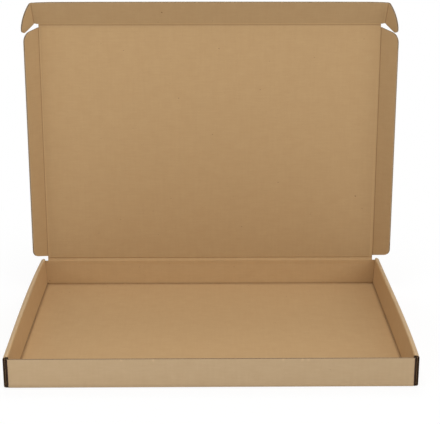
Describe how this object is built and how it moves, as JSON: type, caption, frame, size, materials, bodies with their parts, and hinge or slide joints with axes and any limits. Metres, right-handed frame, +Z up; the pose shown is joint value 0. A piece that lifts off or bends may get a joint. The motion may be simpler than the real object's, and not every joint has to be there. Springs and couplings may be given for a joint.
{
  "type": "cardboard mailer box",
  "caption": "Shallow folded mailer box of thin brown fluted board, lid raised, with rolled side walls, dust flaps, a tuck flap and rounded lock ears.",
  "frame": {"origin": "centre of the tray's outside rectangle, on its flat underside", "axes": "+X to the box's right along the hinge crease, +Y from the front wall to the back wall, +Z up"},
  "size_m": [0.3273, 0.2228, 0.2623],
  "materials": {
    "kraft_board": "matt unprinted brown board"
  },
  "bodies": {
    "tray": {"tray": "kraft_board"},
    "lid_panel": {"lid_panel": "kraft_board"},
    "left_dust_flap": {"left_dust_flap": "kraft_board"},
    "right_dust_flap": {"right_dust_flap": "kraft_board"},
    "tuck_flap": {"tuck_flap": "kraft_board"},
    "left_lock_ear": {"left_lock_ear": "kraft_board"},
    "right_lock_ear": {"right_lock_ear": "kraft_board"}
  },
  "joints": [
    {"name": "lid_fold", "type": "hinge", "parent": "tray", "child": "lid_panel", "pos_m": [0, 0.1087, 0.025], "axis": [-1, 0, 0], "range_deg": [-34, 89]},
    {"name": "left_dust_fold", "type": "hinge", "parent": "lid_panel", "child": "left_dust_flap", "pos_m": [-0.149, 0.1087, 0.025], "axis": [0, -0.0175, -0.9998], "range_deg": [-37.5, 52.5]},
    {"name": "right_dust_fold", "type": "hinge", "parent": "lid_panel", "child": "right_dust_flap", "pos_m": [0.149, 0.1087, 0.025], "axis": [0, 0.0175, 0.9998], "range_deg": [-46, 44]},
    {"name": "tuck_fold", "type": "hinge", "parent": "lid_panel", "child": "tuck_flap", "pos_m": [0, 0.11246, 0.24047], "axis": [-1, 0, 0], "range_deg": [-38, 20.5]},
    {"name": "left_ear_fold", "type": "hinge", "parent": "tuck_flap", "child": "left_lock_ear", "pos_m": [-0.15295, 0.11246, 0.24047], "axis": [0.0649, 0.3331, -0.9407], "range_deg": [-38, 52]},
    {"name": "right_ear_fold", "type": "hinge", "parent": "tuck_flap", "child": "right_lock_ear", "pos_m": [0.15295, 0.11246, 0.24047], "axis": [0.0649, -0.3331, 0.9407], "range_deg": [-38, 52]}
  ]
}
